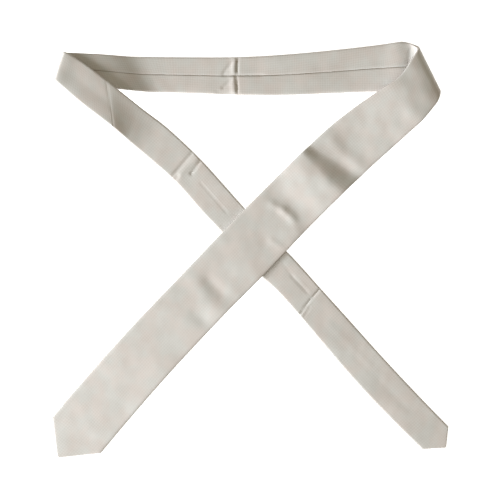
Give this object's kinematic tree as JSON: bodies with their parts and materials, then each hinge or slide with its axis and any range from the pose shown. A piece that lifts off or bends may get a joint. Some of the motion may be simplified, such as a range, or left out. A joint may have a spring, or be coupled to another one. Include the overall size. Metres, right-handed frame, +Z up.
{
  "type": "necktie",
  "caption": "Woven silk necktie laid flat and crossed over itself: wide pointed blade on top, narrow tail below, soft roll at one end of the neckband and a pressed fold at the other.",
  "frame": {"origin": "centre of the bounding box's underside, on the surface that the tie lies on", "axes": "+Z up out of the surface; +Y from the two points towards the neckband; +X towards the soft roll"},
  "size_m": [0.4258, 0.4472, 0.0172],
  "materials": {
    "silk": "ivory pique weave with a soft sheen",
    "interlining": "brushed wool",
    "lining": "smooth satin",
    "thread": "matt thread",
    "label": "woven tape, blank"
  },
  "bodies": {
    "neck_and_tail": {"neck_shell": "silk", "neck_interlining": "interlining", "neck_slip_stitch": "thread", "neck_roll_shell": "silk", "blade_roll_shell": "silk", "roll_interlining": "interlining", "roll_slip_stitch": "thread", "roll_seam": "thread", "tail_shell": "silk", "tail_interlining": "interlining", "tail_slip_stitch": "thread", "tail_seam": "thread"},
    "blade": {"blade_shell": "silk", "blade_interlining": "interlining", "blade_tipping": "lining", "blade_slip_stitch": "thread", "blade_bar_tack": "thread", "keeper_loop": "silk", "keeper_tack_left": "thread", "keeper_tack_right": "thread", "care_label": "label"},
    "tail_end": {"tail_end_shell": "silk", "tail_end_interlining": "interlining", "tail_end_tipping": "lining", "tail_end_slip_stitch": "thread", "tail_end_bar_tack": "thread"}
  },
  "joints": [
    {"name": "blade_fold", "type": "hinge", "parent": "neck_and_tail", "child": "blade", "pos_m": [0.18257, 0.19178, 0.0075], "axis": [-0.436, 0.9, 0], "range_deg": [0, 178], "deforming": ["neck_roll_shell", "blade_roll_shell", "roll_interlining", "roll_slip_stitch", "roll_seam"]},
    {"name": "tail_end_fold", "type": "hinge", "parent": "neck_and_tail", "child": "tail_end", "pos_m": [0.06344, -0.05539, 0.00335], "axis": [-0.65, -0.76, 0], "range_deg": [0, 150]}
  ]
}
